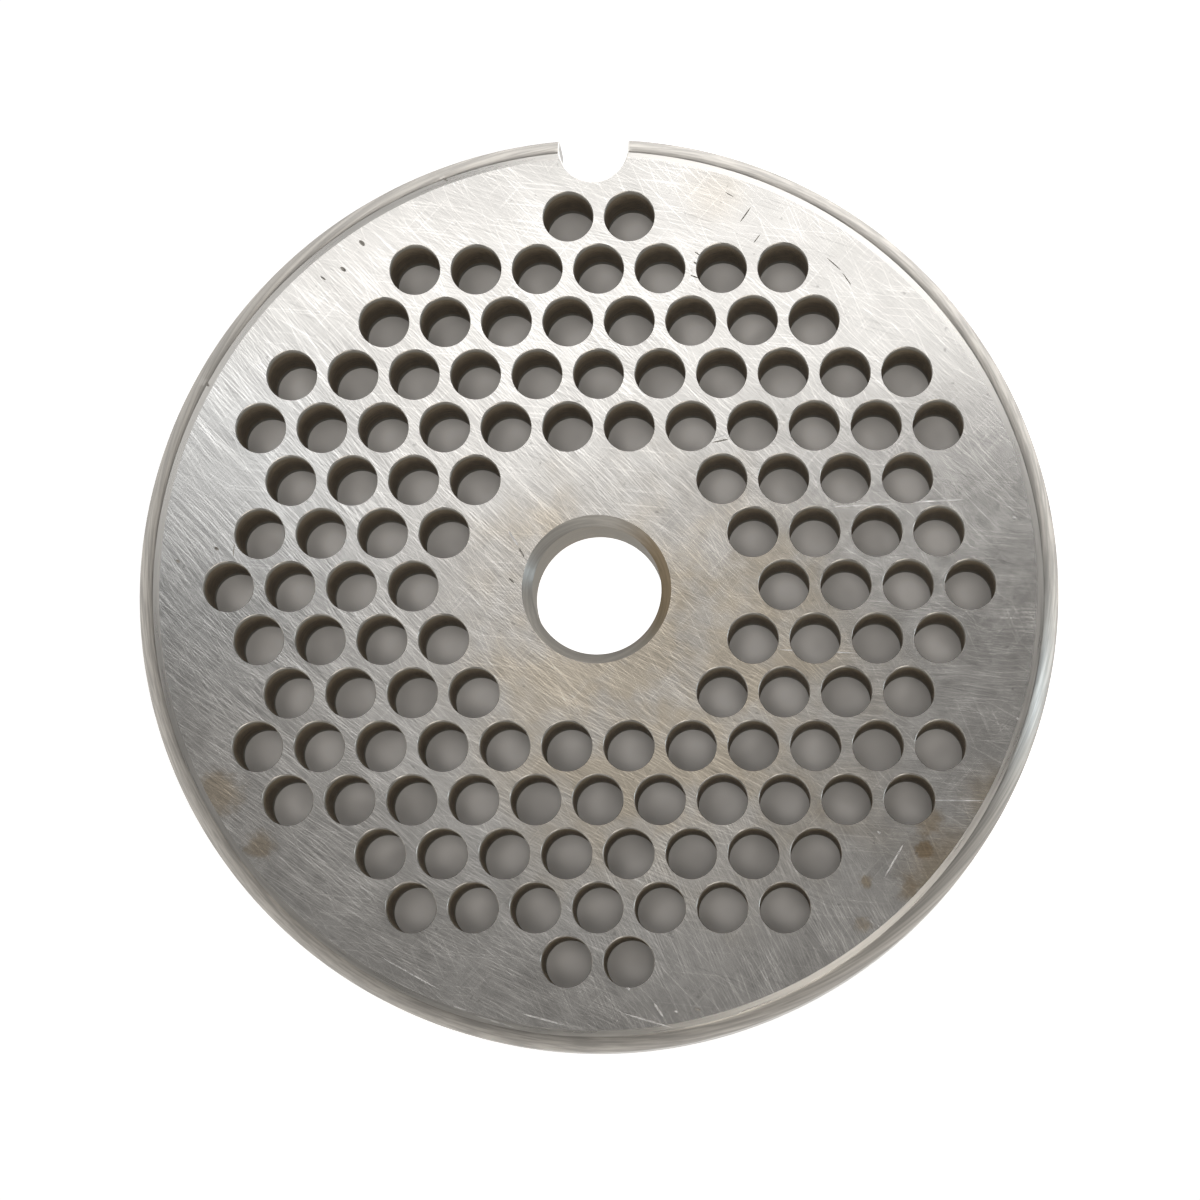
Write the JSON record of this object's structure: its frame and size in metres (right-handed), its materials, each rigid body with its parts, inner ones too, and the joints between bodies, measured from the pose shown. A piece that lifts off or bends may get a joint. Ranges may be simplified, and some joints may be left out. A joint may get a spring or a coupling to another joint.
{
  "type": "meat grinder plate",
  "caption": "Round ground steel cutting plate with a hexagonal field of through holes, a chamfered central bore and a round-ended rim notch; a rotating knife shears meat against it.",
  "frame": {"origin": "on the bore axis, at the back face that the plate lies on", "axes": "+Z along the bore axis from the back face to the cutting face, +Y from the bore towards the rim notch, rows of holes along X"},
  "size_m": [0.082, 0.0819, 0.0095],
  "materials": {
    "ground_steel": "ground tool steel with grinding lines, scratches and light brown staining"
  },
  "bodies": {
    "root": {"plate": "ground_steel"}
  },
  "joints": []
}
